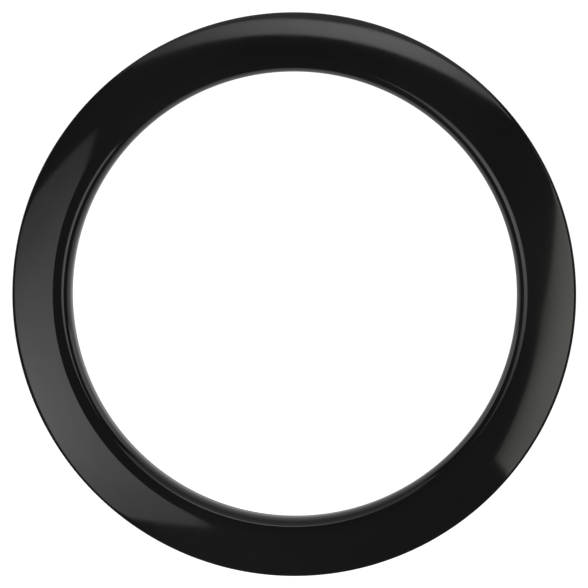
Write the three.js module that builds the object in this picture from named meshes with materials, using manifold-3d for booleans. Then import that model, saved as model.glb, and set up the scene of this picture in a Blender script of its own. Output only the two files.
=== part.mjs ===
// Ring insulator that lines a round hole in a fence or gate panel.
//
// Units are millimetres and +Z is up. The bore runs along Y and the front looks towards -Y.
// The origin is on the bore's axis, in the plane of the panel's front face.
//
// The front ring's flange and seal sit on the front of the panel. Its threaded neck goes through
// the hole, and a lock ring screws up it from behind, with a slip ring between it and the panel.
// Three grub screws in brass inserts stop the lock ring from working loose.

import * as THREE from "three";
import { mergeVertices } from "three/addons/utils/BufferGeometryUtils.js";
import Module from "manifold-3d";

const wasm = await Module();
wasm.setup();

// ---- Driving dimensions ----

const AROUND = 72; // flats round each large ring
const GAP = 0.3; // clearance between pieces that touch
const CHAMFER = 0.4; // broken edges of the rings

const FLANGE_R = 62.5;
const CREST_Y = -6.3; // foremost line of the face
const DOME_RADIUS = 64.5; // the face is a shallow arc that falls towards the rim
const DOME_SLOPE = THREE.MathUtils.degToRad(15.5); // its slope where it leaves the lip
const RIM_RADIUS = 1.0; // rounding from the face onto the rim
const LIP_RADIUS = 3.3; // the lip, and then the shoulder and the throat, round into the bore
const LIP_SLOPE = THREE.MathUtils.degToRad(30);
const SHOULDER_RADIUS = 1.9;
const SHOULDER_SLOPE = THREE.MathUtils.degToRad(68);
const THROAT_RADIUS = 9;
const RIM_BACK_Y = -0.4; // the seal stands this far proud of the rim

const THROAT_R = 49.4; // narrowest part of the bore
const FLARE_RADIUS = 85; // behind the throat the bore widens along a long arc
const NECK_R = 53.0; // root of the outside thread
const NECK_END_Y = 10.8;
const PILOT_R = 54.6; // plain collar that centres the ring in a hole of 110 mm
const PILOT_END_Y = 0.6;

const SEAL_INNER_R = 54.9;
const SEAL_OUTER_R = 61.0;
const SEAL_THICKNESS = 1.5;

const PANEL_THICKNESS = 3.0; // the panel that the pieces are drawn clamped on

const SLIP_INNER_R = 54.7;
const SLIP_OUTER_R = 60.4;
const SLIP_THICKNESS = 1.0;

const THREAD_PITCH = 3.0; // right-hand, one start
const THREAD_DEPTH = 1.2;
const THREAD_ROOT_WIDTH = 1.9;
const THREAD_CREST_WIDTH = 0.7;
const THREAD_FROM_TURN = 0.75; // a ridge at turn t lies at Y = pitch * t
const THREAD_TO_TURN = 3.25;
const THREAD_FADE_TURNS = 0.12; // each end of the ridge sinks into the neck
const THREAD_PLAY_RADIAL = 0.35;
const THREAD_PLAY_AXIAL = 0.25; // on each flank

const LOCK_R = 59.6; // between the grip ribs
const LOCK_THICKNESS = 6.0;
const RIB_COUNT = 24;
const RIB_RADIUS = 1.6;
const RIB_SIDES = 12;
const POCKET_INNER_R = 56.2; // blind pockets in the lock ring's back keep its walls even
const POCKET_OUTER_R = 58.2;
const POCKET_DEPTH = 4.0;
const POCKET_SPAN = THREE.MathUtils.degToRad(11);
const POCKET_STEPS = 4;

const SCREW_COUNT = 3;
const SCREW_FIRST_ANGLE = Math.PI / 2;
const SCREW_R = 1.3; // M3, drawn at its pitch diameter
const SCREW_LENGTH = 5.0;
const SCREW_SIDES = 18;
const SOCKET_ACROSS = 1.5;
const SOCKET_DEPTH = 1.8;
const INSERT_BORE_R = 1.6;
const INSERT_R = 2.05;
const INSERT_LENGTH = 4.2;
const INSERT_HOLE_R = 2.35;

// ---- Places that follow from them ----

const SLIP_FRONT_Y = PANEL_THICKNESS;
const LOCK_FRONT_Y = SLIP_FRONT_Y + SLIP_THICKNESS + GAP;
const LOCK_MID_Y = LOCK_FRONT_Y + LOCK_THICKNESS / 2;
const THREAD_CREST_R = NECK_R + THREAD_DEPTH;

// ---- Shape helpers ----

/**
 * Lengthens an outline by an arc that bends left. Its slope is 0 where it runs straight away from
 * the axis and a quarter turn where it runs straight to the back.
 */
function bend(outline, radius, slope, newSlope, steps) {
  const [r, y] = outline.at(-1);
  for (let i = 1; i <= steps; i += 1) {
    const angle = THREE.MathUtils.lerp(slope, newSlope, i / steps);
    outline.push([
      r + radius * (Math.sin(angle) - Math.sin(slope)),
      y - radius * (Math.cos(angle) - Math.cos(slope)),
    ]);
  }
}

/** A body of revolution round Y. The outline is closed, and its outside wall runs towards +Y. */
function turned(outline, flats) {
  const points = outline.map(([r, y]) => new THREE.Vector2(r, y));
  return new THREE.LatheGeometry([...points, points[0].clone()], flats);
}

/** A ring of rectangular section with its two outer edges broken. */
function flatRing(innerR, outerR, frontY, thickness, edge) {
  const backY = frontY + thickness;
  const outline = [
    [innerR, frontY],
    [outerR - edge, frontY],
    [outerR, frontY + edge],
    [outerR, backY - edge],
    [outerR - edge, backY],
    [innerR, backY],
  ];
  return turned(outline, AROUND);
}

/** A bar of tapering section, wound right-handed round Y, for a thread's ridge or its groove. */
function threadBar({ rootR, crestR, rootWidth, crestWidth, fromTurn, toTurn, fadeTurns }) {
  const turns = toTurn - fromTurn;
  const bar = new THREE.BoxGeometry(1, 1, 1, Math.round(turns * AROUND), 1, 1);
  const at = bar.attributes.position;
  for (let i = 0; i < at.count; i += 1) {
    const turn = fromTurn + (at.getX(i) + 0.5) * turns;
    const toEnd = Math.min(turn - fromTurn, toTurn - turn);
    const height = fadeTurns > 0 ? THREE.MathUtils.clamp(toEnd / fadeTurns, 0.1, 1) : 1;
    const out = (at.getZ(i) + 0.5) * height;
    const r = THREE.MathUtils.lerp(rootR, crestR, out);
    const width = THREE.MathUtils.lerp(rootWidth, crestWidth, out);
    const angle = 2 * Math.PI * turn;
    const y = THREAD_PITCH * turn + at.getY(i) * width;
    at.setXYZ(i, r * Math.sin(angle), y, r * Math.cos(angle));
  }
  return bar;
}

/** A closed geometry as a solid that can be cut and joined. */
function solid(geometry) {
  const bare = geometry.clone();
  bare.deleteAttribute("normal");
  bare.deleteAttribute("uv");
  const welded = mergeVertices(bare);
  return new wasm.Manifold(
    new wasm.Mesh({
      numProp: 3,
      vertProperties: Float32Array.from(welded.attributes.position.array),
      triVerts: Uint32Array.from(welded.index.array),
    }),
  );
}

/** A cut or joined solid as a geometry again. */
function shape(body) {
  const { numProp, vertProperties, triVerts } = body.getMesh();
  const geometry = new THREE.BufferGeometry();
  const stored = new THREE.InterleavedBuffer(Float32Array.from(vertProperties), numProp);
  geometry.setAttribute("position", new THREE.InterleavedBufferAttribute(stored, 3, 0));
  geometry.setIndex(new THREE.BufferAttribute(Uint32Array.from(triVerts), 1));
  return geometry;
}

/** Angles of pieces spaced evenly round the bore. */
function spaced(count, first) {
  return Array.from({ length: count }, (_, i) => first + (2 * Math.PI * i) / count);
}

// ---- Pieces ----

/** How far the throat lies behind the foremost line of the face. */
function throatDepth() {
  const throat = THROAT_RADIUS * Math.cos(SHOULDER_SLOPE);
  const shoulder = SHOULDER_RADIUS * (Math.cos(LIP_SLOPE) - Math.cos(SHOULDER_SLOPE));
  return throat + shoulder + LIP_RADIUS * (1 - Math.cos(LIP_SLOPE));
}

/** The face: out of the throat, over the shoulder and lip, down the dome and round the rim. */
function faceOutline() {
  const outline = [[THROAT_R, CREST_Y + throatDepth()]];
  bend(outline, THROAT_RADIUS, -Math.PI / 2, -SHOULDER_SLOPE, 2);
  bend(outline, SHOULDER_RADIUS, -SHOULDER_SLOPE, -LIP_SLOPE, 2);
  bend(outline, LIP_RADIUS, -LIP_SLOPE, DOME_SLOPE, 4);
  const domeR = outline.at(-1)[0] - DOME_RADIUS * Math.sin(DOME_SLOPE);
  const rimSlope = Math.asin((FLANGE_R - RIM_RADIUS - domeR) / (DOME_RADIUS - RIM_RADIUS));
  bend(outline, DOME_RADIUS, DOME_SLOPE, rimSlope, 4);
  bend(outline, RIM_RADIUS, rimSlope, Math.PI / 2, 3);
  return outline;
}

/** The bore behind the throat, from its mouth in the end of the neck. */
function flareOutline() {
  const length = NECK_END_Y - CREST_Y - throatDepth();
  const flare = Math.asin(length / FLARE_RADIUS);
  const mouthR = THROAT_R + FLARE_RADIUS * (1 - Math.cos(flare));
  const outline = [[mouthR, NECK_END_Y]];
  bend(outline, FLARE_RADIUS, 1.5 * Math.PI - flare, 1.5 * Math.PI, 3);
  return outline.slice(0, -1);
}

function frontRing() {
  const seatR = SEAL_OUTER_R + GAP;
  const seatY = -SEAL_THICKNESS - GAP;
  const outline = [
    ...faceOutline(),
    [FLANGE_R, RIM_BACK_Y],
    [seatR, RIM_BACK_Y],
    [seatR, seatY],
    [PILOT_R, seatY],
    [PILOT_R, PILOT_END_Y],
    [NECK_R, PILOT_END_Y],
    [NECK_R, NECK_END_Y - CHAMFER],
    [NECK_R - CHAMFER, NECK_END_Y],
    ...flareOutline(),
  ];
  const ridge = threadBar({
    rootR: NECK_R - CHAMFER,
    crestR: THREAD_CREST_R,
    rootWidth: THREAD_ROOT_WIDTH,
    crestWidth: THREAD_CREST_WIDTH,
    fromTurn: THREAD_FROM_TURN,
    toTurn: THREAD_TO_TURN,
    fadeTurns: THREAD_FADE_TURNS,
  });
  return shape(solid(turned(outline, AROUND)).add(solid(ridge)));
}

function panelSeal() {
  return flatRing(SEAL_INNER_R, SEAL_OUTER_R, -SEAL_THICKNESS, SEAL_THICKNESS, GAP);
}

function slipRing() {
  return flatRing(SLIP_INNER_R, SLIP_OUTER_R, SLIP_FRONT_Y, SLIP_THICKNESS, GAP);
}

/** The groove that the neck's thread runs in, longer than the lock ring at both ends. */
function lockGroove() {
  const beyond = THREAD_ROOT_WIDTH;
  return threadBar({
    rootR: NECK_R - CHAMFER,
    crestR: THREAD_CREST_R + THREAD_PLAY_RADIAL,
    rootWidth: THREAD_ROOT_WIDTH + 2 * THREAD_PLAY_AXIAL,
    crestWidth: THREAD_CREST_WIDTH + 2 * THREAD_PLAY_AXIAL,
    fromTurn: (LOCK_FRONT_Y - beyond) / THREAD_PITCH,
    toTurn: (LOCK_FRONT_Y + LOCK_THICKNESS + beyond) / THREAD_PITCH,
    fadeTurns: 0,
  });
}

function gripRib(angle) {
  const rib = new THREE.CylinderGeometry(
    RIB_RADIUS,
    RIB_RADIUS,
    LOCK_THICKNESS - 2 * CHAMFER,
    RIB_SIDES,
  );
  return rib.translate(LOCK_R, LOCK_MID_Y, 0).rotateY(angle);
}

/** A blind pocket that opens at the lock ring's back. */
function pocket(angle) {
  const half = POCKET_SPAN / 2;
  const outline = new THREE.Shape();
  outline.absarc(0, 0, POCKET_OUTER_R, -half, half, false);
  outline.absarc(0, 0, POCKET_INNER_R, half, -half, true);
  const hollow = new THREE.ExtrudeGeometry(outline, {
    depth: POCKET_DEPTH + CHAMFER,
    bevelEnabled: false,
    curveSegments: POCKET_STEPS,
  });
  const floorY = LOCK_FRONT_Y + LOCK_THICKNESS - POCKET_DEPTH;
  return hollow.rotateX(-Math.PI / 2).translate(0, floorY, 0).rotateY(angle);
}

/** The drilling for one insert, from the thread out past the grip ribs. */
function insertHole(angle) {
  const inner = NECK_R - CHAMFER;
  const length = FLANGE_R - inner;
  const hole = new THREE.CylinderGeometry(INSERT_HOLE_R, INSERT_HOLE_R, length, SCREW_SIDES);
  hole.rotateZ(-Math.PI / 2).translate(inner + length / 2, LOCK_MID_Y, 0);
  return hole.rotateY(angle);
}

function lockRing() {
  const innerR = NECK_R + THREAD_PLAY_RADIAL;
  let ring = solid(flatRing(innerR, LOCK_R, LOCK_FRONT_Y, LOCK_THICKNESS, CHAMFER));
  for (const angle of spaced(RIB_COUNT, SCREW_FIRST_ANGLE + Math.PI / RIB_COUNT)) {
    ring = ring.add(solid(gripRib(angle)));
  }
  const perScrew = RIB_COUNT / SCREW_COUNT;
  spaced(RIB_COUNT, SCREW_FIRST_ANGLE).forEach((angle, i) => {
    const cut = i % perScrew === 0 ? insertHole(angle) : pocket(angle);
    ring = ring.subtract(solid(cut));
  });
  return shape(ring.subtract(solid(lockGroove())));
}

/** A brass insert, turned about its own axis, with its outer end at +Y. */
function threadedInsert() {
  const half = INSERT_LENGTH / 2;
  const grooveR = (INSERT_R + INSERT_BORE_R) / 2;
  const outline = [
    [INSERT_BORE_R, -half],
    [INSERT_R, -half],
    [INSERT_R, -CHAMFER],
    [grooveR, -CHAMFER],
    [grooveR, CHAMFER],
    [INSERT_R, CHAMFER],
    [INSERT_R, half],
    [INSERT_BORE_R, half],
  ];
  return turned(outline, SCREW_SIDES);
}

/** A grub screw with a flat point at -Y and a hexagon socket at +Y. */
function grubScrew() {
  const half = SCREW_LENGTH / 2;
  const outline = [
    new THREE.Vector2(0, -half),
    new THREE.Vector2(SCREW_R - CHAMFER, -half),
    new THREE.Vector2(SCREW_R, -half + CHAMFER),
    new THREE.Vector2(SCREW_R, half),
    new THREE.Vector2(0, half),
  ];
  const socketR = SOCKET_ACROSS / Math.sqrt(3);
  const socket = new THREE.CylinderGeometry(socketR, socketR, 2 * SOCKET_DEPTH, 6);
  const body = solid(new THREE.LatheGeometry(outline, SCREW_SIDES));
  return shape(body.subtract(solid(socket.translate(0, half, 0))));
}

// ---- Materials ----

const FINISHES = {
  glossBlack: { color: 0x151515, roughness: 0.08, metalness: 0 },
  rubber: { color: 0x1b1b1c, roughness: 0.85, metalness: 0 },
  nylon: { color: 0xd9d6cb, roughness: 0.5, metalness: 0 },
  satinBlack: { color: 0x1a1a1b, roughness: 0.45, metalness: 0 },
  brass: { color: 0xb08d4a, roughness: 0.35, metalness: 1 },
  steel: { color: 0x8d9094, roughness: 0.3, metalness: 1 },
};

function piece(name, geometry, finish) {
  const material = new THREE.MeshStandardMaterial(FINISHES[finish]);
  const mesh = new THREE.Mesh(geometry, material);
  mesh.name = name;
  return mesh;
}

// ---- Assembly ----

/** One insert and its screw, laid along +X and turned to their place round the lock ring. */
function screwStation(number, angle) {
  const station = new THREE.Group();
  station.position.y = LOCK_MID_Y;
  station.rotation.y = angle;
  const insert = piece(`insert_${number}`, threadedInsert(), "brass");
  insert.position.x = LOCK_R - CHAMFER - INSERT_LENGTH / 2;
  const screw = piece(`grub_screw_${number}`, grubScrew(), "steel");
  screw.position.x = THREAD_CREST_R + THREAD_PLAY_RADIAL + SCREW_LENGTH / 2;
  for (const mesh of [insert, screw]) {
    mesh.rotation.z = -Math.PI / 2;
  }
  station.add(insert, screw);
  return station;
}

const insulator = new THREE.Group();
insulator.add(
  piece("front_ring", frontRing(), "glossBlack"),
  piece("panel_seal", panelSeal(), "rubber"),
  piece("slip_ring", slipRing(), "nylon"),
  piece("lock_ring", lockRing(), "satinBlack"),
  ...spaced(SCREW_COUNT, SCREW_FIRST_ANGLE).map((angle, i) => screwStation(i + 1, angle)),
);

export default insulator;
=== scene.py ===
# %% [markdown]
# # A gloss black ring insulator
#
# A ring insulator lines a round hole in a fence or gate panel, so that what passes through the hole
# never touches the panel. Its front is one turned-looking moulding in gloss black. Behind the panel
# a lock ring screws up its neck and clamps it.
#
# Almost every piece is round, so nearly all of the modelling is one idea: draw half of the cut
# face, then spin it round the bore. The gloss does the rest, and gloss shows every flat and every
# kink. That is why the visible pieces are spun afresh here, with far more steps than the working
# model needs, while that model still gives every size and place.

# %% Load the working model
from math import asin, atan2, cos, hypot, pi, radians, sin

import bmesh
import bpy
from mathutils import Matrix, Vector


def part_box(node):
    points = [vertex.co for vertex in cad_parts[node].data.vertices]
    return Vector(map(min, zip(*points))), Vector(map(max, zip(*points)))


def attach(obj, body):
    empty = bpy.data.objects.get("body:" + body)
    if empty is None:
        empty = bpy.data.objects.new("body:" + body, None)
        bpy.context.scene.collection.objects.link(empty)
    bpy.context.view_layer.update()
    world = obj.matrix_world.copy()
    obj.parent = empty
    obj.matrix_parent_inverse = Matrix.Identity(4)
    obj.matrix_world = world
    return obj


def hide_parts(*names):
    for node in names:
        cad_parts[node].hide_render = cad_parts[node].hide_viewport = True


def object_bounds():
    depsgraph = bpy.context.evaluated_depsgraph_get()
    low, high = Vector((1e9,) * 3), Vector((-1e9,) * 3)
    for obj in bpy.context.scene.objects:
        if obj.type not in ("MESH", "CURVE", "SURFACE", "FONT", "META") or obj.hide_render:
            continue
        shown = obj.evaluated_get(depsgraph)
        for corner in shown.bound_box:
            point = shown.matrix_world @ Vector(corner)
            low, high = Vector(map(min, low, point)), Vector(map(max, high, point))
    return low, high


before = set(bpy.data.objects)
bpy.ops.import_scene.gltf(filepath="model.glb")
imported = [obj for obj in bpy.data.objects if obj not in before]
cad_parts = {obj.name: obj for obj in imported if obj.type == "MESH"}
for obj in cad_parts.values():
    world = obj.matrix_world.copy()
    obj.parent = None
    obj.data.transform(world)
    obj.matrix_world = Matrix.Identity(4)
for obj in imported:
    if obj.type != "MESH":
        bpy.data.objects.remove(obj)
cad_low, cad_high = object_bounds()
MM = 0.001
print("working model, mm:", [round(side / MM, 1) for side in cad_high - cad_low])

# %% [markdown]
# ## Take the sizes from the working model
#
# The bore runs along Y and the front looks towards -Y. So each ring is fully told by four numbers:
# its inner and outer radius, and where its front and back lie along Y. They could be typed in, but
# reading them from the working model means that a change there carries through to here.

# %% Measure a ring
def ring_span(node):
    """The inner and outer radius of a ring, and the Y of its front and its back."""
    radii = [hypot(v.co.x, v.co.z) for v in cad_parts[node].data.vertices]
    low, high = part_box(node)
    return min(radii), max(radii), low.y, high.y


BORE_R, FLANGE_R, CREST_Y, NECK_END_Y = ring_span("front_ring")
SEAL_INNER_R, SEAL_OUTER_R, SEAL_FRONT_Y, SEAL_BACK_Y = ring_span("panel_seal")
SLIP_INNER_R, SLIP_OUTER_R, SLIP_FRONT_Y, SLIP_BACK_Y = ring_span("slip_ring")
LOCK_INNER_R, RIB_TIP_R, LOCK_FRONT_Y, LOCK_BACK_Y = ring_span("lock_ring")
LOCK_MID_Y = (LOCK_FRONT_Y + LOCK_BACK_Y) / 2
print("throat", round(2 * BORE_R / MM, 1), "flange", round(2 * FLANGE_R / MM, 1))

# %% [markdown]
# ## A pen for cut faces
#
# A lathe operator thinks in the cut face of a ring: straight runs, roundings and corners. In bmesh
# a single vertex can do the same. Extruded, it draws a straight run. Spun about a centre, it draws
# an arc. Where two runs meet in a corner that only needs its edge broken, a bevel of that one
# vertex rounds it afterwards. The alternative is to type a long list of points, which hides what
# the shape is and can't be changed by one number.

# %% Draw a cut face and spin it
ALONG_BORE = (0, 1, 0)
AROUND = 288


class CutFace:
    """A pen that draws the cut face of a ring, counter-clockwise, in the XY plane."""

    def __init__(self, r, y):
        self.mesh = bmesh.new()
        self.first = self.tip = self.mesh.verts.new((r, y, 0))
        self.corners = []

    def to(self, r, y, soft=0.0):
        """A straight run to a corner, which is rounded to a radius of soft in the end."""
        self.tip = bmesh.ops.extrude_vert_indiv(self.mesh, verts=[self.tip])["verts"][0]
        self.tip.co = (r, y, 0)
        self.corners.append((self.tip, soft))
        return self

    def bend(self, radius, heading, new_heading, steps):
        """An arc to the left that sets off along one heading and ends along another."""
        centre = self.tip.co + radius * Vector((-sin(heading), cos(heading), 0))
        made = bmesh.ops.spin(
            self.mesh, geom=[self.tip], cent=centre, axis=(0, 0, 1), dvec=(0, 0, 0),
            angle=new_heading - heading, steps=steps, use_merge=False, use_duplicate=False,
        )
        self.tip = [v for v in made["geom_last"] if isinstance(v, bmesh.types.BMVert)][0]
        return self

    def close(self, steps=4):
        """Join the ends and round the corners that were drawn soft."""
        if (self.tip.co - self.first.co).length > 0.001 * MM:
            self.mesh.edges.new((self.tip, self.first))
        for corner, soft in self.corners:
            if soft > 0:
                bmesh.ops.bevel(
                    self.mesh, geom=[corner], offset=soft, offset_type="OFFSET",
                    affect="VERTICES", segments=steps, profile=0.5, material=-1,
                )
        return self

    def spun(self, steps=AROUND):
        """The cut face taken once round the bore, as a closed ring."""
        bmesh.ops.spin(
            self.mesh, geom=self.mesh.verts[:] + self.mesh.edges[:], cent=(0, 0, 0),
            axis=ALONG_BORE, dvec=(0, 0, 0), angle=2 * pi, steps=steps, use_merge=True,
            use_duplicate=False,
        )
        return outward(self.mesh)


def outward(mesh):
    """Turn every face of a closed mesh to point out."""
    bmesh.ops.remove_doubles(mesh, verts=mesh.verts, dist=0.1e-6)
    bmesh.ops.recalc_face_normals(mesh, faces=mesh.faces[:])
    if mesh.calc_volume(signed=True) < 0:
        bmesh.ops.reverse_faces(mesh, faces=mesh.faces[:])
    return mesh


def plain_ring(inner_r, outer_r, front_y, back_y, soft):
    """A ring of rectangular section with rounded edges."""
    face = CutFace(inner_r, (front_y + back_y) / 2)
    face.to(inner_r, front_y, soft).to(outer_r, front_y, soft)
    face.to(outer_r, back_y, soft).to(inner_r, back_y, soft)
    return face.close().spun()


# %% [markdown]
# ## Threads, holes and finished pieces
#
# A thread is the same idea with one more number: while its small cut face spins, it also steps
# along the bore. The spin operator takes that step as `dvec`. Ridges are joined to their ring, and
# grooves and holes are cut from it, by an exact Boolean, so each piece ends as one closed skin.
#
# Every piece is finished the same way. Its faces are smooth, except where two of them meet at a
# real edge, and its object stays at the origin with its place in its mesh, as the working model's
# pieces do.

# %% Wind a thread, cut and join, and finish a piece
SHARP_ANGLE = radians(32)
THREAD_PITCH = 3 * MM
SAME_POINT = 0.5e-6


def wound(face, from_turn, to_turn, steps_each_turn=144):
    """A closed cut face wound right-handed round the bore, from one turn to another."""
    mesh = face.mesh
    steps = round((to_turn - from_turn) * steps_each_turn)
    angle = 2 * pi * (to_turn - from_turn)
    start = Matrix.Rotation(2 * pi * from_turn - pi / 2, 3, "Y")
    bmesh.ops.translate(mesh, verts=mesh.verts, vec=(0, THREAD_PITCH * from_turn, 0))
    bmesh.ops.rotate(mesh, verts=mesh.verts, cent=(0, 0, 0), matrix=start)
    first = bmesh.ops.contextual_create(mesh, geom=mesh.edges[:])["faces"]
    bmesh.ops.spin(
        mesh, geom=first, cent=(0, 0, 0), axis=ALONG_BORE, angle=angle, steps=steps,
        dvec=(0, THREAD_PITCH / steps_each_turn, 0), use_merge=False, use_duplicate=False,
    )
    return outward(mesh)


def as_object(name, mesh):
    data = bpy.data.meshes.new(name)
    mesh.to_mesh(data)
    mesh.free()
    made = bpy.data.objects.new(name, data)
    bpy.context.scene.collection.objects.link(made)
    return made


def booled(piece, tool_mesh, operation):
    """Join a tool to a piece, or cut it away, and drop the tool."""
    tool = as_object("tool", tool_mesh)
    change = piece.modifiers.new(operation, "BOOLEAN")
    change.operation = operation
    change.solver = "EXACT"
    change.object = tool
    evaluated = piece.evaluated_get(bpy.context.evaluated_depsgraph_get())
    result = bpy.data.meshes.new_from_object(evaluated)
    piece.modifiers.clear()
    worn_out = piece.data
    piece.data = result
    bpy.data.meshes.remove(worn_out)
    bpy.data.meshes.remove(tool.data)
    return piece


def finished(piece, finish, body, slot, *nodes):
    """Shade a piece, give it its finish, and let it stand for the working model's nodes."""
    mesh = bmesh.new()
    mesh.from_mesh(piece.data)
    bmesh.ops.remove_doubles(mesh, verts=mesh.verts, dist=SAME_POINT)
    for face in mesh.faces:
        face.smooth = True
    for edge in mesh.edges:
        edge.smooth = len(edge.link_faces) == 2 and edge.calc_face_angle(0) < SHARP_ANGLE
    open_edges = sum(len(edge.link_faces) != 2 for edge in mesh.edges)
    mesh.to_mesh(piece.data)
    mesh.free()
    piece.data.name = piece.name
    piece.data.materials.clear()
    piece.data.materials.append(finish)
    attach(piece, body)
    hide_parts(*nodes)
    print(piece.name, len(piece.data.polygons), "faces,", open_edges, "open edges")
    return piece


# %% [markdown]
# ## Shader maths as plain sums
#
# A finish is a graph of small nodes. Drawn by hand that is fine, but typed out it soon hides the
# idea. So `Value` wraps a socket, and the usual signs add the Math node that they stand for:
# `0.08 + 0.04 * haze` reads as what it does. Every other node comes from `Finish.node`.

# %% Values and finishes
class Value:
    """A number that varies over the surface: an output socket, with the usual signs."""

    def __init__(self, finish, socket):
        self.finish = finish
        self.socket = socket

    def sum_of(self, operation, *terms):
        made = self.finish.node("ShaderNodeMath", {"operation": operation}, dict(enumerate(terms)))
        return Value(self.finish, made.outputs[0])

    def __add__(self, other):
        return self.sum_of("ADD", self, other)

    def __radd__(self, other):
        return self.sum_of("ADD", other, self)

    def __sub__(self, other):
        return self.sum_of("SUBTRACT", self, other)

    def __rsub__(self, other):
        return self.sum_of("SUBTRACT", other, self)

    def __mul__(self, other):
        return self.sum_of("MULTIPLY", self, other)

    def __rmul__(self, other):
        return self.sum_of("MULTIPLY", other, self)

    def __gt__(self, other):
        return self.sum_of("GREATER_THAN", self, other)

    def __lt__(self, other):
        return self.sum_of("LESS_THAN", self, other)


class Finish:
    """A finish in the making, on one Principled shader."""

    def __init__(self, name, **constants):
        self.material = bpy.data.materials.new(name)
        self.material.use_nodes = True
        self.tree = self.material.node_tree
        self.shader = self.tree.nodes["Principled BSDF"]
        for socket, value in constants.items():
            self.shader.inputs[socket.replace("_", " ")].default_value = value
        coordinates = self.node("ShaderNodeTexCoord")
        self.place = coordinates.outputs["Object"]
        self.unfolded = coordinates.outputs["UV"]

    def node(self, kind, settings=None, inputs=None):
        """A node, with its settings first and then the values or links of its sockets."""
        made = self.tree.nodes.new(kind)
        for name, value in (settings or {}).items():
            setattr(made, name, value)
        for name, value in (inputs or {}).items():
            self.feed(made.inputs[name], value)
        return made

    def feed(self, socket, value):
        if isinstance(value, Value):
            value = value.socket
        if isinstance(value, bpy.types.NodeSocket):
            self.tree.links.new(value, socket)
        else:
            socket.default_value = value

    def noise(self, scale, detail=2.0, stretch=(1, 1, 1)):
        """Cloudy noise from 0 to 1. Scale is in features each metre."""
        place = self.node("ShaderNodeMapping", None, {"Vector": self.place, "Scale": stretch})
        made = self.node(
            "ShaderNodeTexNoise", None,
            {"Vector": place.outputs[0], "Scale": scale, "Detail": detail},
        )
        return Value(self, made.outputs[0])

    def specks(self, scale, size):
        """1 in small round specks, one to a cell, and how each cell is drawn by lot."""
        cells = self.node("ShaderNodeTexVoronoi", None, {"Vector": self.place, "Scale": scale})
        lot = self.node("ShaderNodeSeparateColor", None, {"Color": cells.outputs["Color"]})
        near = Value(self, cells.outputs["Distance"])
        return near < size, Value(self, lot.outputs[0])

    def between(self, amount, low, high):
        """A colour that runs from low to high as the amount runs from 0 to 1."""
        made = self.node(
            "ShaderNodeMix", {"data_type": "RGBA"},
            {"Factor": amount, 6: (*low, 1), 7: (*high, 1)},
        )
        return made.outputs[2]

    def spread(self, amount, low, high):
        """Stretch an amount so that low becomes 0 and high becomes 1."""
        made = self.node(
            "ShaderNodeMapRange", {"interpolation_type": "SMOOTHSTEP"},
            {"Value": amount, "From Min": low, "From Max": high},
        )
        return Value(self, made.outputs[0])

    def relief(self, height, depth):
        """Bumps in the surface. Depth is in metres."""
        made = self.node(
            "ShaderNodeBump", None, {"Height": height, "Distance": depth, "Strength": 1.0}
        )
        return made.outputs[0]

    def done(self, **varying):
        for name, value in varying.items():
            self.feed(self.shader.inputs[name.replace("_", " ")], value)
        return self.material


# %% [markdown]
# ## The gloss black finish
#
# This is polished black plastic. Almost none of its look is its colour: it is what the surface
# reflects, and how cleanly. A perfect mirror reads as glass, so three faint things are laid over
# each other: a slow waviness of a few thousandths of a millimetre from the mould, haze that makes
# some patches a touch less sharp than others, and a rare speck of dust.

# %% Make the gloss black finish
def gloss_black():
    black = Finish("gloss_black", IOR=1.5)
    haze = black.spread(black.noise(28, 3), 0.35, 0.75)
    wipe = black.spread(black.noise(260, 4, (1, 1, 0.12)), 0.45, 0.8)
    speck, lot = black.specks(110, 0.022)
    dust = speck * (lot > 0.9)
    grain = black.noise(1400, 2)
    colour = black.between(haze, (0.0040, 0.0040, 0.0041), (0.0068, 0.0067, 0.0066))
    dusty = black.node(
        "ShaderNodeMix", {"data_type": "RGBA"},
        {"Factor": dust, 6: colour, 7: (0.11, 0.105, 0.095, 1)},
    )
    roughness = 0.062 + 0.035 * haze + 0.025 * wipe + 0.012 * grain + 0.5 * dust
    wave = black.noise(130, 1)
    return black.done(
        Base_Color=dusty.outputs[2],
        Roughness=roughness,
        Normal=black.relief(wave, 0.0022 * MM),
    )


GLOSS_BLACK = gloss_black()

# %% [markdown]
# ## The front ring
#
# The front ring is one moulding: a shallow domed face, a tight rounding that the eye reads as the
# lip, a throat just behind it, a bore that widens from there along one long arc, and the neck. The
# face could be modelled flat with a bump, but the long curved reflections come from its real curve.
# So the pen draws throat, shoulder, lip, dome and rim as arcs that each set off along the heading
# on which the last one ended. They meet without a kink, and no reflection breaks at a joint.

# %% Draw and spin the front ring
THROAT_R = BORE_R
THROAT_RADIUS = 9 * MM
SHOULDER_RADIUS = 1.9 * MM
LIP_RADIUS = 3.3 * MM
DOME_RADIUS = 64.5 * MM
RIM_RADIUS = 1.0 * MM
SHOULDER_SLOPE = radians(68)
LIP_SLOPE = radians(30)
DOME_SLOPE = radians(15.5)
FLARE_RADIUS = 85 * MM
MOUTH_RADIUS = 0.6 * MM
RIM_BACK_Y = -0.4 * MM
NECK_R = 53 * MM
PILOT_R = 54.6 * MM
PILOT_END_Y = 0.6 * MM
TOUCH_GAP = 0.3 * MM
THREAD_CREST_R = NECK_R + 1.2 * MM


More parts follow.
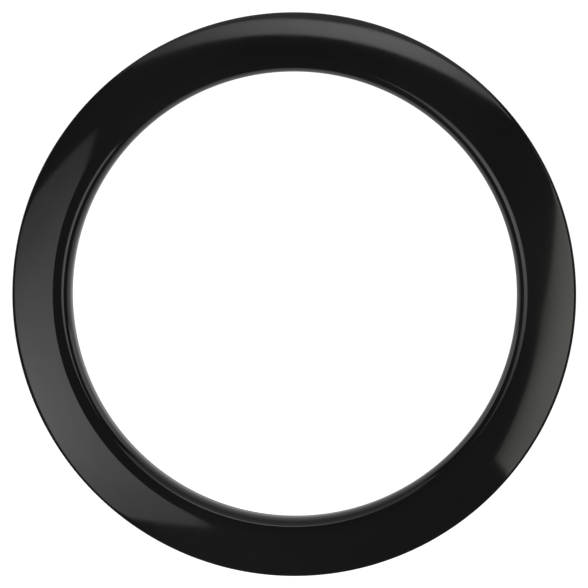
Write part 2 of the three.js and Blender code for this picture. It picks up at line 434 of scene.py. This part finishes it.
def face_arcs(face):
    """Out of the throat, over the shoulder and the lip, down the dome and round the rim."""
    straight_out = -pi / 2
    face.bend(THROAT_RADIUS, straight_out, -SHOULDER_SLOPE, 10)
    face.bend(SHOULDER_RADIUS, -SHOULDER_SLOPE, -LIP_SLOPE, 10)
    face.bend(LIP_RADIUS, -LIP_SLOPE, DOME_SLOPE, 14)
    dome_r = face.tip.co.x - DOME_RADIUS * sin(DOME_SLOPE)
    rim_slope = asin((FLANGE_R - RIM_RADIUS - dome_r) / (DOME_RADIUS - RIM_RADIUS))
    face.bend(DOME_RADIUS, DOME_SLOPE, rim_slope, 16)
    return face.bend(RIM_RADIUS, rim_slope, pi / 2, 10)


def front_ring_face():
    throat_y = CREST_Y + (
        THROAT_RADIUS * cos(SHOULDER_SLOPE)
        + SHOULDER_RADIUS * (cos(LIP_SLOPE) - cos(SHOULDER_SLOPE))
        + LIP_RADIUS * (1 - cos(LIP_SLOPE))
    )
    flare = asin((NECK_END_Y - throat_y - MOUTH_RADIUS) / (FLARE_RADIUS - MOUTH_RADIUS))
    mouth_r = THROAT_R + FLARE_RADIUS - (FLARE_RADIUS - MOUTH_RADIUS) * cos(flare)
    face = face_arcs(CutFace(THROAT_R, throat_y))
    seat_r, seat_y = SEAL_OUTER_R + TOUCH_GAP, SEAL_FRONT_Y - TOUCH_GAP
    face.to(FLANGE_R, RIM_BACK_Y, 0.25 * MM).to(seat_r, RIM_BACK_Y, 0.15 * MM)
    face.to(seat_r, seat_y, 0.2 * MM).to(PILOT_R, seat_y, 0.2 * MM)
    face.to(PILOT_R, PILOT_END_Y, 0.3 * MM).to(NECK_R, PILOT_END_Y, 0.3 * MM)
    face.to(NECK_R, NECK_END_Y, 0.45 * MM).to(mouth_r, NECK_END_Y)
    face.bend(MOUTH_RADIUS, pi, 1.5 * pi - flare, 8)
    face.bend(FLARE_RADIUS, 1.5 * pi - flare, 1.5 * pi, 20)
    print("throat", round(THROAT_R / MM, 2), "mouth", round(mouth_r / MM, 2))
    return face.close()


def thread_bar(root_r, crest_r, root_width, crest_width):
    """The cut face of a thread's ridge or groove."""
    bar = CutFace(root_r, -root_width / 2)
    bar.to(crest_r, -crest_width / 2, 0.12 * MM).to(crest_r, crest_width / 2, 0.12 * MM)
    bar.to(root_r, root_width / 2)
    return bar.close(2)


def sink_ends(mesh, from_turn, to_turn, fade, floor_r):
    """Let both ends of a wound ridge sink below the neck's surface."""
    for v in mesh.verts:
        r = hypot(v.co.x, v.co.z)
        part = (atan2(v.co.x, v.co.z) / (2 * pi)) % 1
        turn = round(v.co.y / THREAD_PITCH - part) + part
        height = min(1, max(0.1, min(turn - from_turn, to_turn - turn) / fade))
        sunk = (floor_r + (r - floor_r) * height) / r
        v.co.x, v.co.z = v.co.x * sunk, v.co.z * sunk
    return mesh


FROM_TURN, TO_TURN, FADE = 0.75, 3.25, 0.12
ROOT_R = NECK_R - 0.4 * MM
ROOT_WIDTH, CREST_WIDTH = 1.9 * MM, 0.7 * MM
ridge = wound(thread_bar(ROOT_R, THREAD_CREST_R, ROOT_WIDTH, CREST_WIDTH), FROM_TURN, TO_TURN)
front_ring = as_object("front_ring_moulding", front_ring_face().spun())
booled(front_ring, sink_ends(ridge, FROM_TURN, TO_TURN, FADE, ROOT_R), "UNION")
finished(front_ring, GLOSS_BLACK, "front", "gloss_black_shell", "front_ring")

# %% [markdown]
# ## The seal
#
# The seal is a flat ring of black rubber that fills the seat behind the flange. Moulded rubber is
# never quite flat: this one has two raised beads that bite on the panel. Rubber scatters light and
# carries a pale bloom, so its finish is rough, with a fine grain and slightly greyer patches.

# %% Make the seal
def matte_rubber():
    rubber = Finish("matte_rubber", IOR=1.5)
    bloom = rubber.spread(rubber.noise(70, 4), 0.3, 0.7)
    grain = rubber.noise(2600, 3)
    return rubber.done(
        Base_Color=rubber.between(bloom, (0.018, 0.018, 0.018), (0.034, 0.034, 0.035)),
        Roughness=0.7 + 0.2 * bloom,
        Normal=rubber.relief(grain, 0.02 * MM),
    )


def seal_face():
    """A flat section whose back has two beads, with a shallow groove between and beside them."""
    bead_height, bead_offset = 0.25 * MM, 1.4 * MM
    bead_foot, bead_top = 0.7 * MM, 0.35 * MM
    groove = SEAL_BACK_Y - bead_height
    middle = (SEAL_INNER_R + SEAL_OUTER_R) / 2
    face = CutFace(SEAL_INNER_R, (SEAL_FRONT_Y + SEAL_BACK_Y) / 2)
    face.to(SEAL_INNER_R, SEAL_FRONT_Y, 0.2 * MM).to(SEAL_OUTER_R, SEAL_FRONT_Y, 0.2 * MM)
    face.to(SEAL_OUTER_R, groove, 0.2 * MM)
    for bead_r in (middle + bead_offset, middle - bead_offset):
        face.to(bead_r + bead_foot, groove, 0.1 * MM)
        face.to(bead_r + bead_top, SEAL_BACK_Y, 0.15 * MM)
        face.to(bead_r - bead_top, SEAL_BACK_Y, 0.15 * MM)
        face.to(bead_r - bead_foot, groove, 0.1 * MM)
    face.to(SEAL_INNER_R, groove, 0.2 * MM)
    return face.close()


seal = as_object("panel_seal_rubber", seal_face().spun())
finished(seal, matte_rubber(), "front", "seal_rubber", "panel_seal")

# %% [markdown]
# ## The slip ring
#
# A thin washer of natural nylon lets the lock ring turn without dragging on the panel. Nylon is
# milky: light goes a little way in, so it gets a trace of subsurface. Its faces carry the fine
# circles of the tool that cut it.

# %% Make the slip ring
def natural_nylon():
    nylon = Finish("natural_nylon", IOR=1.53)
    nylon.shader.inputs["Subsurface Weight"].default_value = 0.12
    nylon.shader.inputs["Subsurface Radius"].default_value = (0.9 * MM, 0.8 * MM, 0.6 * MM)
    nylon.shader.inputs["Subsurface Scale"].default_value = 1.0
    cloud = nylon.noise(60, 3)
    circles = Value(nylon, nylon.node(
        "ShaderNodeTexWave",
        {"wave_type": "RINGS", "rings_direction": "Y", "wave_profile": "SIN"},
        {"Vector": nylon.place, "Scale": 900, "Distortion": 0.6, "Detail": 1.0},
    ).outputs[0])
    return nylon.done(
        Base_Color=nylon.between(cloud, (0.66, 0.64, 0.57), (0.76, 0.75, 0.70)),
        Roughness=0.38 + 0.15 * cloud,
        Normal=nylon.relief(circles, 0.003 * MM),
    )


slip = as_object(
    "slip_ring_nylon",
    plain_ring(SLIP_INNER_R, SLIP_OUTER_R, SLIP_FRONT_Y, SLIP_BACK_Y, 0.2 * MM),
)
finished(slip, natural_nylon(), "slip", "slip_nylon", "slip_ring")

# %% [markdown]
# ## The lock ring
#
# The lock ring is what a hand turns. Ribs round its edge give the grip, an inside thread runs on
# the neck, and blind pockets in its back keep every wall about as thick as the next, as moulders
# do to stop a thick part from sinking as it cools. Three holes take the locking screws.
#
# The ring is spun like the rest. The ribs are joined on, and the pockets, the holes, the thread
# and the shallow marks of the pins that push it out of its mould are cut away.

# %% Shapes that are joined to the lock ring and cut from it
RIB_COUNT = 24
RIB_RADIUS = 1.6 * MM
RIB_END_RADIUS = 0.5 * MM
LOCK_R = RIB_TIP_R - RIB_RADIUS
POCKET_INNER_R, POCKET_OUTER_R = 56.2 * MM, 58.2 * MM
POCKET_DEPTH = 4 * MM
POCKET_SPAN = radians(11)
SCREW_NAMES = ("1", "2", "3")
INSERT_HOLE_R = 2.35 * MM
MARK_R, MARK_DEPTH = 1.1 * MM, 0.12 * MM


def to_station(mesh, angle):
    """Turn a mesh that was made beside +X to its place round the bore."""
    turn = Matrix.Rotation(angle, 3, "Y")
    bmesh.ops.rotate(mesh, verts=mesh.verts, cent=(0, 0, 0), matrix=turn)
    return mesh


def peg(radius, length, sides, soft=0.0):
    """A round peg along Y, centred on the origin, with its end edges rounded."""
    mesh = bmesh.new()
    bmesh.ops.create_cone(
        mesh, cap_ends=True, segments=sides, radius1=radius, radius2=radius, depth=length
    )
    upright = Matrix.Rotation(-pi / 2, 3, "X")
    bmesh.ops.rotate(mesh, verts=mesh.verts, cent=(0, 0, 0), matrix=upright)
    if soft > 0:
        ends = [e for e in mesh.edges if abs(e.verts[0].co.y - e.verts[1].co.y) < 0.01 * length]
        bmesh.ops.bevel(
            mesh, geom=ends, offset=soft, offset_type="OFFSET", affect="EDGES", segments=4,
            profile=0.5, material=-1,
        )
    return outward(mesh)


def grip_rib(angle):
    length = LOCK_BACK_Y - LOCK_FRONT_Y - RIB_END_RADIUS
    rib = peg(RIB_RADIUS, length, 32, RIB_END_RADIUS)
    bmesh.ops.translate(rib, verts=rib.verts, vec=(LOCK_R, LOCK_MID_Y, 0))
    return to_station(rib, angle)


def insert_hole(angle):
    length = FLANGE_R - BORE_R
    hole = peg(INSERT_HOLE_R, length, 48)
    across = Matrix.Rotation(-pi / 2, 3, "Z")
    bmesh.ops.rotate(hole, verts=hole.verts, cent=(0, 0, 0), matrix=across)
    bmesh.ops.translate(hole, verts=hole.verts, vec=(BORE_R + length / 2, LOCK_MID_Y, 0))
    return to_station(hole, angle)


def pocket(angle):
    """A short arc of a rectangular ring, open at the lock ring's back."""
    floor_y, mouth_y = LOCK_BACK_Y - POCKET_DEPTH, LOCK_BACK_Y + 1 * MM
    mesh = bmesh.new()
    corners = [(POCKET_INNER_R, floor_y), (POCKET_OUTER_R, floor_y),
               (POCKET_OUTER_R, mouth_y), (POCKET_INNER_R, mouth_y)]
    end = mesh.faces.new([mesh.verts.new((r, y, 0)) for r, y in corners])
    to_station(mesh, -POCKET_SPAN / 2)
    bmesh.ops.spin(
        mesh, geom=[end], cent=(0, 0, 0), axis=ALONG_BORE, dvec=(0, 0, 0), angle=POCKET_SPAN,
        steps=10, use_merge=False, use_duplicate=False,
    )
    outward(mesh)
    upright = [e for e in mesh.edges if abs(e.verts[0].co.y - e.verts[1].co.y) > 1 * MM
               and e.calc_face_angle(0) > 1]
    bmesh.ops.bevel(
        mesh, geom=upright, offset=0.6 * MM, offset_type="OFFSET", affect="EDGES", segments=5,
        profile=0.5, material=-1,
    )
    return to_station(mesh, angle)


def ejector_mark(angle):
    mark = peg(MARK_R, 2 * MARK_DEPTH, 32)
    mid_r = (POCKET_INNER_R + POCKET_OUTER_R) / 2
    bmesh.ops.translate(mark, verts=mark.verts, vec=(mid_r, LOCK_BACK_Y, 0))
    return to_station(mark, angle)


# %% [markdown]
# ## Build the lock ring
#
# Now the ring is spun and the shapes are put to use. The order matters: the ribs are joined on
# first, then everything that is only a hole is gathered into one tool and cut in one go, and the
# thread comes last, as it runs the whole way through. A slow exact Boolean is worth it here,
# because it leaves one closed skin with true edges, which catch a line of light as real ones do.
#
# The groove is the neck's ridge with a little play on every side, or the ring would never turn.

# %% Build the lock ring
FIRST_ANGLE = pi / 2
THREAD_PLAY_R = 0.35 * MM
THREAD_PLAY_Y = 0.25 * MM


def gathered(meshes):
    """Several separate closed meshes as one."""
    whole = bmesh.new()
    for mesh in meshes:
        part = bpy.data.meshes.new("part")
        mesh.to_mesh(part)
        mesh.free()
        whole.from_mesh(part)
        bpy.data.meshes.remove(part)
    return whole


def lock_groove():
    beyond = 1.9 * MM
    groove = thread_bar(
        ROOT_R, THREAD_CREST_R + THREAD_PLAY_R,
        ROOT_WIDTH + 2 * THREAD_PLAY_Y, CREST_WIDTH + 2 * THREAD_PLAY_Y,
    )
    start = (LOCK_FRONT_Y - beyond) / THREAD_PITCH
    end = (LOCK_BACK_Y + beyond) / THREAD_PITCH
    return wound(groove, start, end)


def spaced(count, first):
    return [first + 2 * pi * i / count for i in range(count)]


def lock_ring_piece():
    ring = as_object(
        "lock_ring_moulding",
        plain_ring(NECK_R + THREAD_PLAY_R, LOCK_R, LOCK_FRONT_Y, LOCK_BACK_Y, 0.4 * MM),
    )
    ribs = spaced(RIB_COUNT, FIRST_ANGLE + pi / RIB_COUNT)
    booled(ring, gathered([grip_rib(a) for a in ribs]), "UNION")
    per_screw = RIB_COUNT // len(SCREW_NAMES)
    between_ribs = spaced(RIB_COUNT, FIRST_ANGLE)
    cuts = [pocket(a) for i, a in enumerate(between_ribs) if i % per_screw]
    cuts += [insert_hole(a) for a in between_ribs[::per_screw]]
    cuts += [ejector_mark(a) for a in between_ribs[::per_screw]]
    booled(ring, gathered(cuts), "DIFFERENCE")
    return booled(ring, lock_groove(), "DIFFERENCE")


lock_ring = lock_ring_piece()

# %% [markdown]
# ## The satin black finish
#
# The lock ring is the same black plastic, but its mould was left with a fine spark-eroded grain, so
# it is satin and not gloss. The grain is a real texture, so it goes into the bump. Handling
# polishes it in patches, which shows as lower roughness, and leaves a few paler scuffs.

# %% Make the satin black finish
def satin_black():
    satin = Finish("satin_black", IOR=1.5)
    worn = satin.spread(satin.noise(45, 4), 0.5, 0.75)
    grain = satin.noise(3200, 3)
    scuff = satin.spread(satin.noise(420, 5, (1, 0.25, 1)), 0.62, 0.78)
    shade = satin.between(worn, (0.016, 0.016, 0.0165), (0.026, 0.026, 0.026))
    scuffed = satin.node(
        "ShaderNodeMix", {"data_type": "RGBA"},
        {"Factor": 0.35 * scuff, 6: shade, 7: (0.06, 0.06, 0.058, 1)},
    )
    return satin.done(
        Base_Color=scuffed.outputs[2],
        Roughness=0.48 - 0.14 * worn + 0.12 * scuff,
        Normal=satin.relief(grain, 0.012 * MM),
    )


finished(lock_ring, satin_black(), "lock", "lock_plastic", "lock_ring")

# %% [markdown]
# ## The locking screws and their inserts
#
# Plastic threads strip, so each grub screw runs in a brass insert that was pressed hot into the
# lock ring. Straight knurling stops the insert from turning, and the screw has a hexagon socket.
# All of them are small, so a few dozen faces each way are plenty.
#
# Brass and steel are metals: their colour is the colour of their reflection, and what makes them
# look machined is the fine run of tool marks, which are rings about the piece's own axis. As each
# screw points another way, one soft, even grain stands in for those rings.

# %% Metal finishes
def turned_metal(name, dark, light, polish):
    metal = Finish(name, Metallic=1.0)
    tarnish = metal.spread(metal.noise(420, 3), 0.35, 0.75)
    marks = metal.noise(5200, 2)
    return metal.done(
        Base_Color=metal.between(tarnish, light, dark),
        Roughness=polish + 0.14 * tarnish + 0.06 * marks,
        Normal=metal.relief(marks, 0.003 * MM),
    )


BRASS = turned_metal("turned_brass", (0.42, 0.27, 0.10), (0.66, 0.46, 0.19), 0.22)
STEEL = turned_metal("plain_steel", (0.30, 0.30, 0.31), (0.52, 0.52, 0.53), 0.2)
print("metals:", BRASS.name, STEEL.name)

# %% [markdown]
# ## Make the small pieces lying down, then stand them up
#
# A screw could be modelled where it sits, but its axis points out across the bore, at an angle that
# no view shows straight. It is easier to make each one along Y, round the origin, with the same
# pen and peg as the big pieces, and only then to turn it outwards and move it to its station. The
# working model says how near the bore it starts and how far out it reaches.

# %% Inserts and grub screws
SCREW_R = 1.3 * MM
SOCKET_R = 1.5 / 3 ** 0.5 * MM
SOCKET_DEPTH = 1.8 * MM
INSERT_BORE_R = 1.6 * MM
INSERT_R = 2.05 * MM
KNURLS = 28
KNURL_DEPTH = 0.05
BAND_HALF, BAND_DEPTH = 0.4 * MM, 0.2 * MM


def outer_reach(node):
    """How near a piece comes to the bore's axis, and how far from it the piece reaches."""
    radii = [hypot(v.co.x, v.co.z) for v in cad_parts[node].data.vertices]
    return min(radii), max(radii)


def stood_up(mesh, node, angle):
    """Move a piece made along Y to where a node of the working model lies, pointing outwards."""
    near, far = outer_reach(node)
    across = Matrix.Rotation(-pi / 2, 3, "Z")
    bmesh.ops.rotate(mesh, verts=mesh.verts, cent=(0, 0, 0), matrix=across)
    bmesh.ops.translate(mesh, verts=mesh.verts, vec=((near + far) / 2, LOCK_MID_Y, 0))
    return to_station(mesh, angle)


def insert_mesh(node):
    """A knurled sleeve with a plain band round its middle."""
    near, far = outer_reach(node)
    half = (far - near) / 2
    face = CutFace(INSERT_BORE_R, 0)
    face.to(INSERT_BORE_R, -half, 0.12 * MM).to(INSERT_R, -half, 0.12 * MM)
    face.to(INSERT_R, -BAND_HALF).to(INSERT_R - BAND_DEPTH, -BAND_HALF)
    face.to(INSERT_R - BAND_DEPTH, BAND_HALF).to(INSERT_R, BAND_HALF)
    face.to(INSERT_R, half, 0.12 * MM).to(INSERT_BORE_R, half, 0.12 * MM)
    mesh = face.close(2).spun(2 * KNURLS)
    for v in mesh.verts:
        step = round(atan2(v.co.x, v.co.z) / (pi / KNURLS))
        if step % 2 and hypot(v.co.x, v.co.z) > INSERT_R - 0.1 * MM:
            v.co.x, v.co.z = v.co.x * (1 - KNURL_DEPTH), v.co.z * (1 - KNURL_DEPTH)
    return mesh


def screw_piece(name, node):
    """A grub screw: a peg with rounded ends and a hexagon socket."""
    near, far = outer_reach(node)
    length = far - near
    screw = as_object(name, peg(SCREW_R, length, 48, 0.2 * MM))
    socket = peg(SOCKET_R, 2 * SOCKET_DEPTH, 6)
    bmesh.ops.translate(socket, verts=socket.verts, vec=(0, length / 2, 0))
    return booled(screw, socket, "DIFFERENCE")


def placed(piece, node, angle):
    mesh = bmesh.new()
    mesh.from_mesh(piece.data)
    stood_up(mesh, node, angle).to_mesh(piece.data)
    mesh.free()
    return piece


for number, angle in zip(SCREW_NAMES, spaced(len(SCREW_NAMES), FIRST_ANGLE)):
    insert_node, screw_node = f"insert_{number}", f"grub_screw_{number}"
    insert = as_object(f"insert_brass_{number}", insert_mesh(insert_node))
    screw = screw_piece(f"grub_screw_steel_{number}", screw_node)
    finished(placed(insert, insert_node, angle), BRASS, "lock", "insert_brass", insert_node)
    finished(placed(screw, screw_node, angle), STEEL, "lock", "screw_steel", screw_node)

# %% [markdown]
# ## The studio
#
# Gloss black is lit by lighting what it reflects. Three bright panels stand before the ring, to
# the left, to the right and above, and everything else in front of it is kept dim. The ring's face
# then shows three long clean shapes on near-black. Three fainter panels, overhead and behind,
# shape the rim and the back. What lies behind the ring is paler than what lies before it, which
# brightens the wall of the bore where the eye looks along it.
#
# The floor is pale and glows by itself, so that it meets the white beyond it without a line. Seen
# from below it is clear. It isn't reflected in the ring, as a product table's front edge is not.

# %% Floor and surroundings
FLOOR_DROP = 60 * MM


def pale_floor():
    bpy.ops.mesh.primitive_plane_add(size=6, location=(0, 0, cad_low.z - FLOOR_DROP))
    floor = bpy.context.object
    floor.name = "floor"
    floor.visible_glossy = False
    pale = Finish("pale_floor", Roughness=0.8, Emission_Strength=0.9)
    soft = pale.noise(3, 3)
    floor.data.materials.append(pale.done(
        Base_Color=pale.between(soft, (0.88, 0.88, 0.88), (0.92, 0.92, 0.92)),
        Emission_Color=(1, 1, 1, 1),
    ))
    below = pale.node("ShaderNodeNewGeometry").outputs["Backfacing"]
    clear = pale.node("ShaderNodeBsdfTransparent").outputs[0]
    seen = pale.node(
        "ShaderNodeMixShader", None, {0: below, 1: pale.shader.outputs[0], 2: clear}
    )
    pale.feed(pale.tree.nodes["Material Output"].inputs["Surface"], seen.outputs[0])
    return floor


def surroundings(shown=1.1, behind=0.34, dim=0.1):
    """White to look at. To the pieces it is grey behind the ring, and dim everywhere else."""
    world = bpy.data.worlds.new("surroundings")
    bpy.context.scene.world = world
    world.use_nodes = True
    nodes, links = world.node_tree.nodes, world.node_tree.links
    direction = nodes.new("ShaderNodeTexCoord").outputs["Generated"]
    split = nodes.new("ShaderNodeSeparateXYZ")
    links.new(direction, split.inputs[0])
    ramp = nodes.new("ShaderNodeMapRange")
    ramp.interpolation_type = "SMOOTHSTEP"
    ramp.inputs["From Min"].default_value = 0.35
    ramp.inputs["From Max"].default_value = 0.85
    ramp.inputs["To Min"].default_value = dim
    ramp.inputs["To Max"].default_value = behind
    links.new(split.outputs["Y"], ramp.inputs["Value"])
    seen = nodes.new("ShaderNodeLightPath").outputs["Is Camera Ray"]
    pick = nodes.new("ShaderNodeMix")
    links.new(seen, pick.inputs["Factor"])
    links.new(ramp.outputs[0], pick.inputs[2])
    pick.inputs[3].default_value = shown
    links.new(pick.outputs[0], nodes["Background"].inputs["Strength"])
    nodes["Background"].inputs["Color"].default_value = (1, 1, 1, 1)
    return world


floor = pale_floor()
surroundings()
print("floor lies", round((cad_low.z - floor.location.z) / MM), "mm below the ring")

# %% [markdown]
# ## Soft panels
#
# Each panel is cloth with lamps behind it. A gloss surface shows the cloth itself, with its edges
# and its uneven glow, so both are worth shaping. A light object would do the lighting, but it is
# always a plain rectangle. A mesh that glows can lean any way and can fade along its length, as
# real cloth does away from its lamp. The cloth's own UV map says how far along a point is.

# %% Soft panels
def glowing_cloth(name, glow, tint, near, start, peak, end):
    """Cloth lit from behind. It is brightest at peak along its length, and at its far edge."""
    cloth = Finish(name, Emission_Strength=glow, Roughness=0.9)
    split = cloth.node("ShaderNodeSeparateXYZ", None, {0: cloth.unfolded})
    along, across = Value(cloth, split.outputs["X"]), Value(cloth, split.outputs["Y"])
    rise = cloth.spread(along, 0, peak)
    fall = cloth.spread(along, peak, 1)
    folds = cloth.noise(5, 2)
    light = start + (1 - start) * rise - (1 - end) * fall
    light = light * (near + (1 - near) * across) - 0.1 * folds + 0.05
    return cloth.done(
        Base_Color=(0, 0, 0, 1),
        Emission_Color=cloth.between(light, (0, 0, 0), tint),
    )


def soft_panel(name, start, end, reach, glow, tint=(1, 1, 1), ends=(1, 1), peak=0.5, near=1):
    """A lit panel. One edge runs from start to end, and it extends from there by reach."""
    start, end, reach = Vector(start), Vector(end), Vector(reach)
    edge = end - start
    mesh = bmesh.new()
    mesh.loops.layers.uv.new("unfolded")
    bmesh.ops.create_grid(mesh, x_segments=1, y_segments=1, size=0.5, calc_uvs=True)
    bmesh.ops.translate(mesh, verts=mesh.verts, vec=(0.5, 0.5, 0))
    stretched = Matrix((edge, reach, edge.cross(reach))).transposed().to_4x4()
    bmesh.ops.transform(mesh, matrix=Matrix.Translation(start) @ stretched, verts=mesh.verts)
    panel = as_object(name, mesh)
    panel.data.materials.append(glowing_cloth(name, glow, tint, near, ends[0], peak, ends[1]))
    panel.visible_camera = False
    return panel


soft_panel("panel_left", (-1.35, -1.86, 0.98), (-0.55, -1.81, -1.40), (-1.20, 0.29, -0.57),
           2.35, ends=(0.32, 0.5), peak=0.6, near=0.7)
soft_panel("panel_right", (1.41, -1.93, -0.21), (1.33, -2.00, -1.24), (-0.72, 1.55, 0.66),
           2.25, tint=(1, 1, 0.93), ends=(0.75, 0.8), near=0.3)
soft_panel("panel_top", (-0.97, -1.23, 1.215), (1.25, -1.31, 0.985), (0, 0.135, 0.152),
           2.6, ends=(0.3, 0.45), peak=0.6, near=0.85)
soft_panel("panel_overhead", (-1.3, -1.06, 1.40), (1.3, -1.15, 1.15), (0, 1.8, 0.25), 0.55)
soft_panel("panel_rear_left", (-2.6, 0.9, 0.2), (-1.6, 1.9, 0.2), (0, 0.3, 1.4), 0.6)
soft_panel("panel_rear_right", (1.6, 1.9, 0.2), (2.6, 0.9, 0.2), (0, 0.3, 1.4), 0.6)

# %% [markdown]
# ## The camera
#
# The ring is seen almost square-on, from a little above and a little to the right, through a long
# lens, so that the bore stays a near-perfect circle and only a sliver of its wall shows.

# %% Place the camera
CAMERA_LENS = 250
CAMERA_DISTANCE = 0.9033
CAMERA_RIGHT = radians(2.0)
CAMERA_ABOVE = radians(2.0)


def place_camera():
    bpy.context.scene.camera = bpy.data.objects.new("camera", bpy.data.cameras.new("camera"))
    camera = bpy.context.scene.camera
    bpy.context.scene.collection.objects.link(camera)
    camera.data.lens = CAMERA_LENS
    camera.data.clip_end = 50
    aim = Vector((0.13 * MM, (CREST_Y + RIM_BACK_Y) / 2, 0.22 * MM))
    back = Vector((
        sin(CAMERA_RIGHT) * cos(CAMERA_ABOVE),
        -cos(CAMERA_RIGHT) * cos(CAMERA_ABOVE),
        sin(CAMERA_ABOVE),
    ))
    camera.location = aim + CAMERA_DISTANCE * back
    camera.rotation_mode = "QUATERNION"
    camera.rotation_quaternion = (-back).to_track_quat("-Z", "Y")
    return camera


camera = place_camera()
bpy.context.scene.view_settings.view_transform = "Standard"
print("camera at, mm:", [round(part / MM) for part in camera.location])
